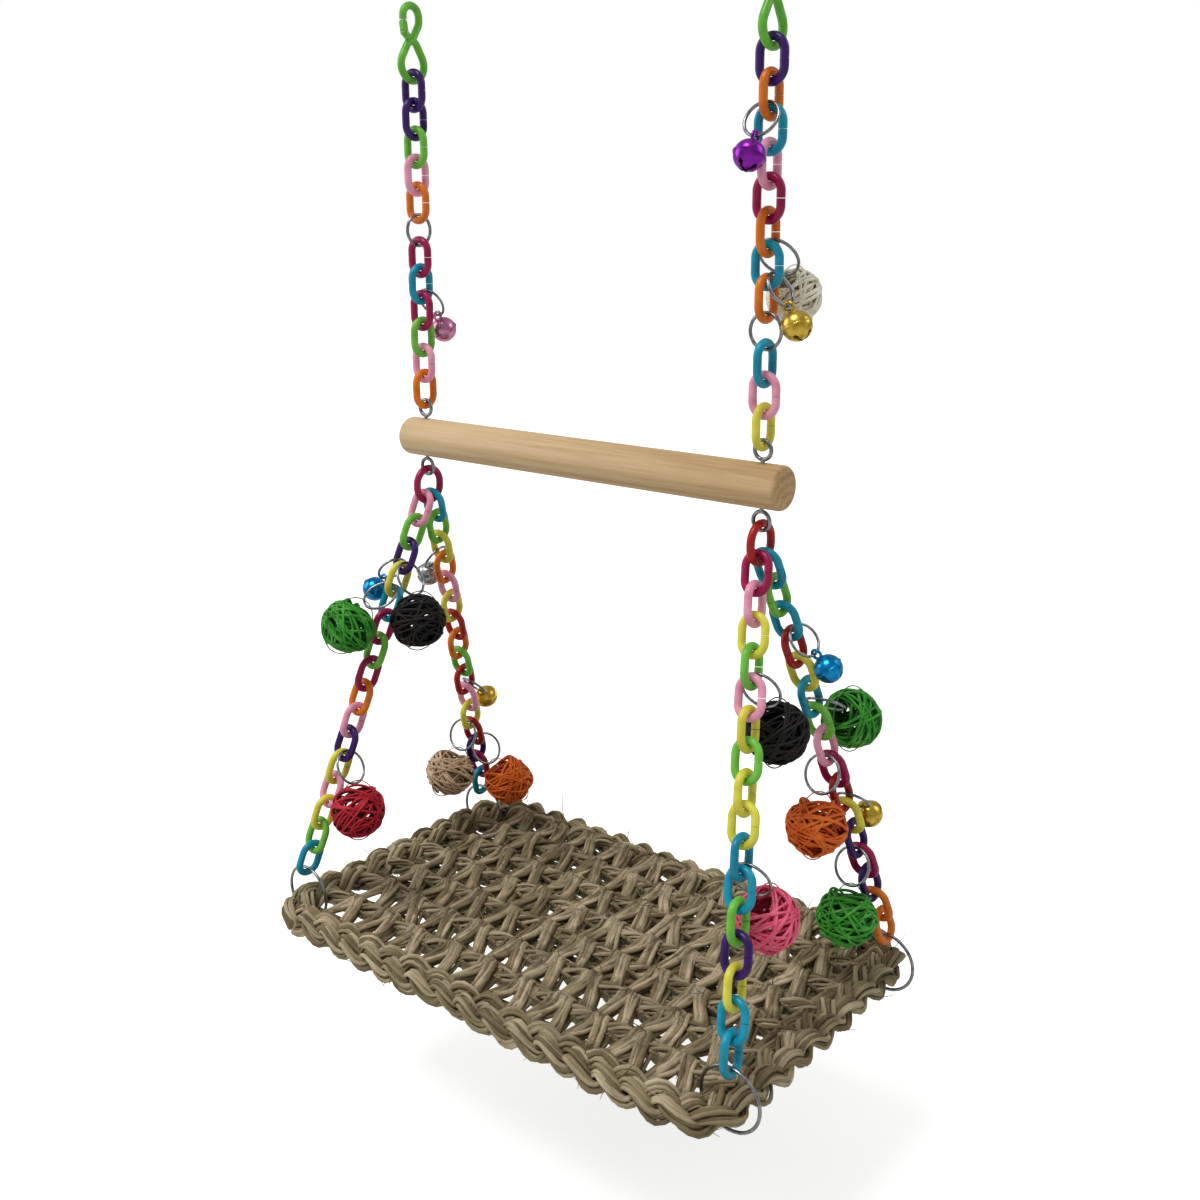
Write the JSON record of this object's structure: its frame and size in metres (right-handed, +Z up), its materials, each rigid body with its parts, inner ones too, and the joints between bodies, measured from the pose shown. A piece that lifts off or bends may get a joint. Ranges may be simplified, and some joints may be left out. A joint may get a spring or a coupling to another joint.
{
  "type": "bird swing",
  "caption": "Hanging cage swing for birds: plastic clips and link chains carry a wooden perch and, below it, a woven seagrass mat, with vine balls and jingle bells as toys.",
  "frame": {"origin": "midway between the clips, on the line where the cage wire passes under both crowns", "axes": "+X along the perch to the right as pictured, +Y to the back of the mat, +Z up"},
  "size_m": [0.267, 0.16, 0.4105],
  "materials": {
    "bell_blue": "bright lacquered tin",
    "bell_gold": "bright lacquered tin",
    "bell_pink": "bright lacquered tin",
    "bell_purple": "bright lacquered tin",
    "bell_silver": "bright lacquered tin",
    "clip_plastic": "smooth green plastic",
    "link_green": "smooth coloured plastic",
    "link_magenta": "smooth coloured plastic",
    "link_orange": "smooth coloured plastic",
    "link_pink": "smooth coloured plastic",
    "link_purple": "smooth coloured plastic",
    "link_red": "smooth coloured plastic",
    "link_teal": "smooth coloured plastic",
    "link_yellow": "smooth coloured plastic",
    "perch_wood": "bare sanded dowel",
    "seagrass": "twisted and braided seagrass",
    "steel_wire": "bright bent wire",
    "vine_black": "dyed split vine",
    "vine_cream": "dyed split vine",
    "vine_green": "dyed split vine",
    "vine_natural": "bare split vine",
    "vine_orange": "dyed split vine",
    "vine_pink": "dyed split vine",
    "vine_red": "dyed split vine"
  },
  "bodies": {
    "hooks": {"left_hook": "clip_plastic", "right_hook": "clip_plastic", "gate_pins": "steel_wire"},
    "left_gate": {"left_gate": "clip_plastic"},
    "right_gate": {"right_gate": "clip_plastic"},
    "top_links": {"top_links": "link_purple"},
    "left_chain": {"left_upper_charm_rings": "steel_wire", "left_upper_links_green": "link_green", "left_upper_links_magenta": "link_magenta", "left_upper_links_orange": "link_orange", "left_upper_links_pink": "link_pink", "left_upper_links_purple": "link_purple", "left_upper_links_teal": "link_teal", "left_upper_ring": "steel_wire"},
    "right_chain": {"right_upper_charm_rings": "steel_wire", "right_upper_links_magenta": "link_magenta", "right_upper_links_orange": "link_orange", "right_upper_links_pink": "link_pink", "right_upper_links_teal": "link_teal", "right_upper_links_yellow": "link_yellow", "right_upper_ring": "steel_wire"},
    "perch": {"perch": "perch_wood", "upper_screw_eyes": "steel_wire", "lower_screw_eyes": "steel_wire"},
    "platform": {"left_join_link": "link_magenta", "right_join_link": "link_red", "lower_links_green": "link_green", "lower_links_magenta": "link_magenta", "lower_links_orange": "link_orange", "lower_links_pink": "link_pink", "lower_links_purple": "link_purple", "lower_links_red": "link_red", "lower_links_teal": "link_teal", "lower_links_yellow": "link_yellow", "corner_rings": "steel_wire", "lower_charm_rings": "steel_wire", "mat_border": "seagrass", "mat_net": "seagrass"},
    "ball_green_left": {"ball_green_left": "vine_green"},
    "ball_black_left": {"ball_black_left": "vine_black"},
    "ball_red": {"ball_red": "vine_red"},
    "ball_natural": {"ball_natural": "vine_natural"},
    "ball_orange_left": {"ball_orange_left": "vine_orange"},
    "ball_black_right": {"ball_black_right": "vine_black"},
    "ball_pink": {"ball_pink": "vine_pink"},
    "ball_green_right": {"ball_green_right": "vine_green"},
    "ball_orange_right": {"ball_orange_right": "vine_orange"},
    "ball_green_low": {"ball_green_low": "vine_green"},
    "ball_cream": {"ball_cream": "vine_cream"},
    "bell_pink": {"bell_pink": "bell_pink"},
    "bell_purple": {"bell_purple": "bell_purple"},
    "bell_gold_top": {"bell_gold_top": "bell_gold"},
    "bell_blue_left": {"bell_blue_left": "bell_blue"},
    "bell_silver": {"bell_silver": "bell_silver"},
    "bell_gold_left": {"bell_gold_left": "bell_gold"},
    "bell_blue_right": {"bell_blue_right": "bell_blue"},
    "bell_gold_right": {"bell_gold_right": "bell_gold"}
  },
  "joints": [
    {"name": "left_gate_hinge", "type": "hinge", "parent": "hooks", "child": "left_gate", "pos_m": [-0.09, -0.0038, -0.0094], "axis": [-1, 0, 0], "range_deg": [0, 38], "stiffness_Nm_per_rad": 0.05, "springref_deg": -2.86},
    {"name": "right_gate_hinge", "type": "hinge", "parent": "hooks", "child": "right_gate", "pos_m": [0.09, -0.0038, -0.0094], "axis": [-1, 0, 0], "range_deg": [0, 38], "stiffness_Nm_per_rad": 0.05, "springref_deg": -2.86},
    {"name": "swing_front_back", "type": "hinge", "parent": "hooks", "child": "top_links", "pos_m": [0, 0, -0.02495], "axis": [1, 0, 0], "range_deg": [-40, 40]},
    {"name": "swing_sideways", "type": "hinge", "parent": "top_links", "child": "left_chain", "pos_m": [-0.09, 0, -0.0365], "axis": [0, 1, 0], "range_deg": [-25, 25]},
    {"name": "right_chain_swing", "type": "hinge", "parent": "top_links", "child": "right_chain", "pos_m": [0.09, 0, -0.0365], "axis": [0, 1, 0], "range_deg": [-25, 25]},
    {"name": "perch_level", "type": "hinge", "parent": "left_chain", "child": "perch", "pos_m": [-0.09, 0, -0.167], "axis": [0, 1, 0], "range_deg": [-25, 25]},
    {"name": "platform_swing", "type": "hinge", "parent": "perch", "child": "platform", "pos_m": [0, 0, -0.19835], "axis": [1, 0, 0], "range_deg": [-30, 30]},
    {"name": "ball_green_left_swing", "type": "hinge", "parent": "platform", "child": "ball_green_left", "pos_m": [-0.09918, -0.03127, -0.2561], "axis": [-0.9869, 0.0498, 0.1537], "range_deg": [0, 45]},
    {"name": "ball_black_left_swing", "type": "hinge", "parent": "platform", "child": "ball_black_left", "pos_m": [-0.08488, -0.01639, -0.25108], "axis": [0, -0.9513, 0.3084], "range_deg": [0, 45]},
    {"name": "ball_red_swing", "type": "hinge", "parent": "platform", "child": "ball_red", "pos_m": [-0.09981, -0.04451, -0.33782], "axis": [0, -0.9513, 0.3084], "range_deg": [0, 45]},
    {"name": "ball_natural_swing", "type": "hinge", "parent": "platform", "child": "ball_natural", "pos_m": [-0.11411, 0.03541, -0.35061], "axis": [-0.9869, -0.0498, 0.1537], "range_deg": [0, 45]},
    {"name": "ball_orange_left_swing", "type": "hinge", "parent": "platform", "child": "ball_orange_left", "pos_m": [-0.10354, 0.05155, -0.3595], "axis": [0, -0.9513, -0.3084], "range_deg": [0, 45]},
    {"name": "ball_black_right_swing", "type": "hinge", "parent": "platform", "child": "ball_black_right", "pos_m": [0.09918, -0.00729, -0.26387], "axis": [0.9869, 0.0498, 0.1537], "range_deg": [0, 25]},
    {"name": "ball_pink_swing", "type": "hinge", "parent": "platform", "child": "ball_pink", "pos_m": [0.11038, -0.02838, -0.32893], "axis": [0.9869, 0.0498, 0.1537], "range_deg": [0, 45]},
    {"name": "ball_green_right_swing", "type": "hinge", "parent": "platform", "child": "ball_green_right", "pos_m": [0.10291, 0.0383, -0.27778], "axis": [0.9869, -0.0498, 0.1537], "range_deg": [0, 45]},
    {"name": "ball_orange_right_swing", "type": "hinge", "parent": "platform", "child": "ball_orange_right", "pos_m": [0.10665, 0.02135, -0.30724], "axis": [-0.9869, 0.0498, -0.1537], "range_deg": [0, 45]},
    {"name": "ball_green_low_swing", "type": "hinge", "parent": "platform", "child": "ball_green_low", "pos_m": [0.11411, 0.03541, -0.35061], "axis": [-0.9869, 0.0498, -0.1537], "range_deg": [0, 45]},
    {"name": "ball_cream_swing", "type": "hinge", "parent": "right_chain", "child": "ball_cream", "pos_m": [0.09, 0.01216, -0.10524], "axis": [1, 0, 0], "range_deg": [0, 45]},
    {"name": "bell_pink_swing", "type": "hinge", "parent": "left_chain", "child": "bell_pink", "pos_m": [-0.09, 0.00915, -0.12735], "axis": [1, 0, 0], "range_deg": [0, 45]},
    {"name": "bell_purple_swing", "type": "hinge", "parent": "right_chain", "child": "bell_purple", "pos_m": [0.09, -0.00915, -0.05805], "axis": [-1, 0, 0], "range_deg": [0, 45]},
    {"name": "bell_gold_top_swing", "type": "hinge", "parent": "right_chain", "child": "bell_gold_top", "pos_m": [0.09915, 0, -0.1158], "axis": [0, -1, 0], "range_deg": [0, 45]},
    {"name": "bell_blue_left_swing", "type": "hinge", "parent": "platform", "child": "bell_blue_left", "pos_m": [-0.10624, -0.01511, -0.24713], "axis": [0, 0.9513, -0.3084], "range_deg": [0, 45]},
    {"name": "bell_silver_swing", "type": "hinge", "parent": "platform", "child": "bell_silver", "pos_m": [-0.10624, 0.01511, -0.24713], "axis": [0, 0.9513, 0.3084], "range_deg": [0, 45]},
    {"name": "bell_gold_left_swing", "type": "hinge", "parent": "platform", "child": "bell_gold_left", "pos_m": [-0.11027, 0.04888, -0.32161], "axis": [0.9869, 0.0498, -0.1537], "range_deg": [0, 45]},
    {"name": "bell_blue_right_swing", "type": "hinge", "parent": "platform", "child": "bell_blue_right", "pos_m": [0.10624, 0.01511, -0.24713], "axis": [0, -0.9513, -0.3084], "range_deg": [0, 45]},
    {"name": "bell_gold_right_swing", "type": "hinge", "parent": "platform", "child": "bell_gold_right", "pos_m": [0.11027, 0.04888, -0.32161], "axis": [0.9869, -0.0498, 0.1537], "range_deg": [0, 45]}
  ],
  "couplings": [
    {"joint": "right_chain_swing", "follows": "swing_sideways", "ratio": 1},
    {"joint": "perch_level", "follows": "swing_sideways", "ratio": -1}
  ]
}
